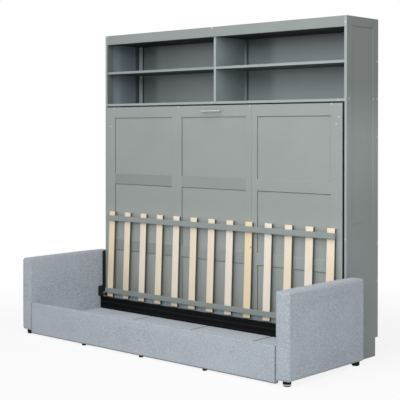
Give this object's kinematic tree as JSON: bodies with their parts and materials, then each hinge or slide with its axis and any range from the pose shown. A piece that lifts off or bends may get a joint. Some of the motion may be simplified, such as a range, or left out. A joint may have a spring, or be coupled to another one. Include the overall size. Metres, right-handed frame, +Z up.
{
  "type": "wall bed with sofa",
  "caption": "Wall bed behind a sofa: a shelved cabinet whose panelled door turns down as the bed, over a slatted sofa back that folds flat into the seat tray.",
  "frame": {"origin": "on the floor, in the middle of the floor area that the whole piece takes up; the cabinet's front plane lies 0.182 m behind it", "axes": "+X to the right seen from the front, +Y towards the wall, +Z up"},
  "size_m": [2.4092, 1.084, 2.175],
  "materials": {
    "painted_board": "satin grey paint on board",
    "plain_timber": "planed timber",
    "birch": "clear lacquered birch",
    "upholstery": "woven cover over a board",
    "back_rail_cover": "grey covered rail",
    "black_steel": "black powder coat",
    "black_beam": "black coated extrusion",
    "bright_steel": "ground rod",
    "brushed_nickel": "brushed nickel",
    "foot_plastic": "black plastic"
  },
  "bodies": {
    "cabinet": {"side_panel_left": "painted_board", "side_panel_right": "painted_board", "top_fascia": "painted_board", "top_panel": "painted_board", "deck_shelf": "painted_board", "back_panel": "painted_board", "wall_rail": "painted_board", "shelf_left": "painted_board", "shelf_right": "painted_board", "shelf_divider": "painted_board", "pivot_plate_left": "black_steel", "pivot_plate_right": "black_steel", "side_plate_left": "black_steel", "side_plate_right": "black_steel", "cross_beam": "black_beam", "arm_left": "upholstery", "arm_right": "upholstery", "front_rail": "upholstery", "rear_rail": "upholstery", "seat_board_1": "upholstery", "seat_board_2": "upholstery", "seat_board_3": "upholstery", "seat_board_4": "upholstery", "seat_bearer": "plain_timber", "arm_foot_front_left": "foot_plastic", "arm_foot_front_right": "foot_plastic", "arm_foot_rear_left": "foot_plastic", "arm_foot_rear_right": "foot_plastic"},
    "bed": {"door_board_left": "painted_board", "door_board_centre": "painted_board", "door_board_right": "painted_board", "door_handle": "brushed_nickel", "bed_end_rail_left": "plain_timber", "bed_end_rail_right": "plain_timber", "bed_low_rail": "plain_timber", "bed_high_rail": "plain_timber", "bed_slat_base": "birch", "pivot_bracket_left": "black_steel", "pivot_bracket_right": "black_steel"},
    "backrest": {"back_lower_rail": "back_rail_cover", "back_top_rail": "back_rail_cover", "back_slat_01": "birch", "back_slat_02": "birch", "back_slat_03": "birch", "back_slat_04": "birch", "back_slat_05": "birch", "back_slat_06": "birch", "back_slat_07": "birch", "back_slat_08": "birch", "back_slat_09": "birch", "back_slat_10": "birch", "back_slat_11": "birch", "back_slat_12": "birch", "back_slat_13": "birch", "back_hinge_plate_left": "black_steel", "back_hinge_plate_right": "black_steel"},
    "strut_tubes": {"strut_tube_left": "black_steel", "strut_tube_right": "black_steel"},
    "strut_rods": {"strut_rod_left": "bright_steel", "strut_rod_right": "bright_steel"}
  },
  "joints": [
    {"name": "bed_fold", "type": "hinge", "parent": "cabinet", "child": "bed", "pos_m": [0, 0.212, 0.2695], "axis": [1, 0, 0], "range_deg": [0, 90]},
    {"name": "backrest_fold", "type": "hinge", "parent": "cabinet", "child": "backrest", "pos_m": [0, 0.135, 0.2175], "axis": [1, 0, 0], "range_deg": [0, 92.3]},
    {"name": "strut_swing", "type": "hinge", "parent": "cabinet", "child": "strut_tubes", "pos_m": [0, 0.229, 0.5155], "axis": [1, 0, 0], "range_deg": [0, 7.3]},
    {"name": "strut_slide", "type": "slide", "parent": "strut_tubes", "child": "strut_rods", "axis": [0, -0.0407, 0.9992], "range_m": [0, 0.081]}
  ],
  "couplings": [
    {"joint": "backrest_fold", "follows": "bed_fold", "ratio": 1.0254},
    {"joint": "strut_swing", "follows": "bed_fold", "ratio": 0.080858},
    {"joint": "strut_slide", "follows": "bed_fold", "m_per_rad": 0.05097}
  ]
}
